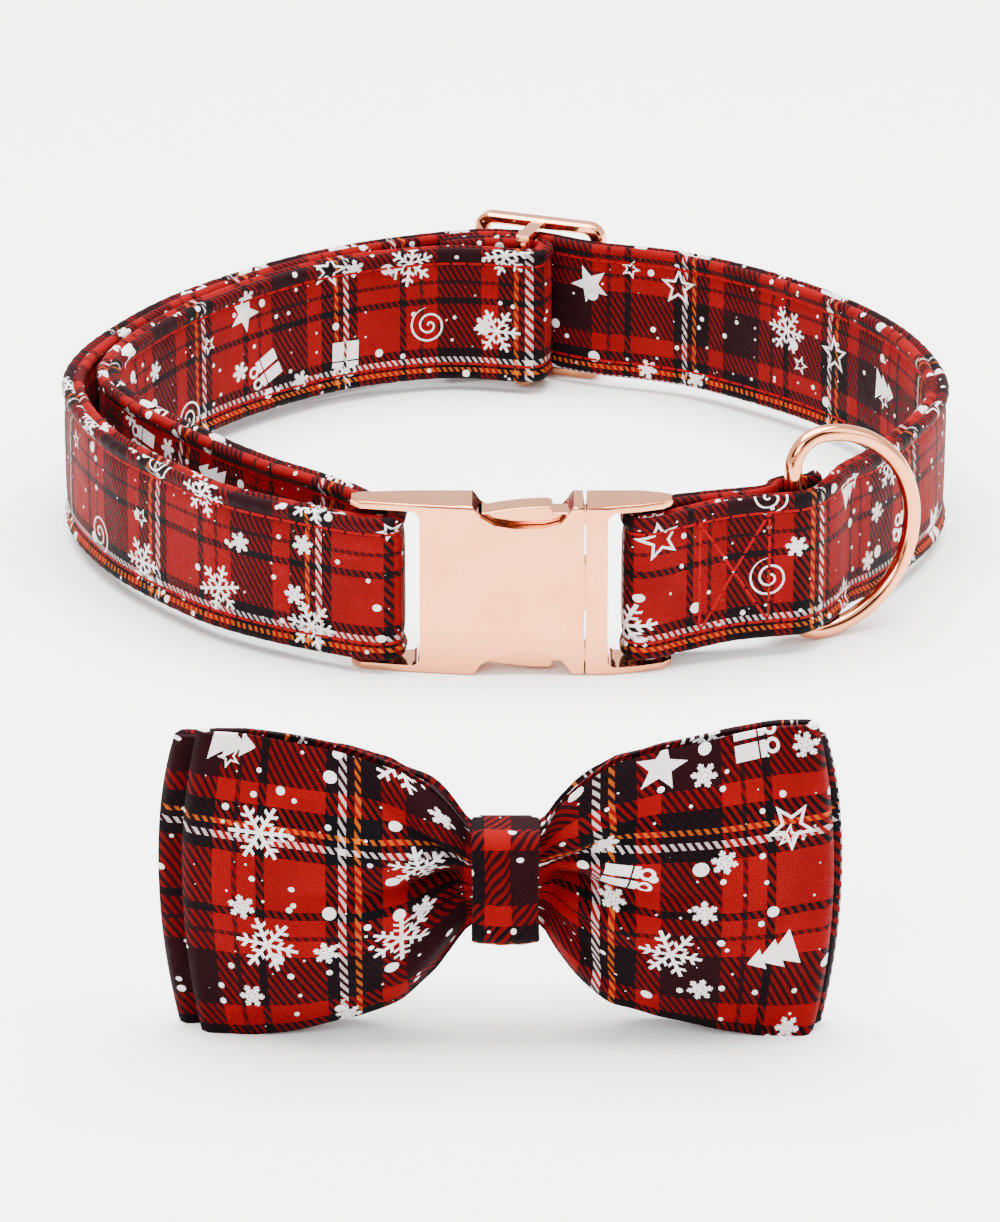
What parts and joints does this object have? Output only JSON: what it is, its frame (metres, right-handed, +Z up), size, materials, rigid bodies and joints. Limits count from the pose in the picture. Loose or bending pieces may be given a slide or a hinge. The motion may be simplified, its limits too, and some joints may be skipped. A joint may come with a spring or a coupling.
{
  "type": "pet collar with bow tie",
  "caption": "Adjustable patterned fabric pet collar with metal side release buckle, lead ring and sliding adjuster, beside its slip-on two-layer bow tie.",
  "frame": {"origin": "middle of the whole object's footprint, at its lowest point", "axes": "+X along the buckle from its socket to its plug, +Y from the bow tie to the back of the loop, +Z up"},
  "size_m": [0.1536, 0.3004, 0.0498],
  "materials": {
    "strap_fabric": "woven red tartan with a printed winter pattern",
    "bow_fabric": "plain weave red tartan with a printed winter pattern",
    "elastic": "ribbed black elastic",
    "plated_metal": "polished rose gold plating"
  },
  "bodies": {
    "collar": {"strap": "strap_fabric", "buckle_socket": "plated_metal", "buckle_plug": "plated_metal", "slider": "plated_metal", "bow_front": "bow_fabric", "bow_back": "bow_fabric", "bow_knot": "bow_fabric", "bow_elastic": "elastic"},
    "lead_ring": {"d_ring": "plated_metal"},
    "upper_release": {"release_arm_upper": "plated_metal"},
    "lower_release": {"release_arm_lower": "plated_metal"}
  },
  "joints": [
    {"name": "ring_swing", "type": "hinge", "parent": "collar", "child": "lead_ring", "pos_m": [0.04787, 0.01131, 0.019], "axis": [0, 0, 1], "range_deg": [-150, 0]},
    {"name": "upper_release_press", "type": "hinge", "parent": "collar", "child": "upper_release", "pos_m": [0.01409, 0.00132, 0.0271], "axis": [0, -1, 0], "range_deg": [0, 8], "stiffness_Nm_per_rad": 0.05, "springref_deg": -8.59},
    {"name": "lower_release_press", "type": "hinge", "parent": "collar", "child": "lower_release", "pos_m": [0.01409, 0.00132, 0.0029], "axis": [0, 1, 0], "range_deg": [0, 8], "stiffness_Nm_per_rad": 0.05, "springref_deg": -8.59}
  ]
}
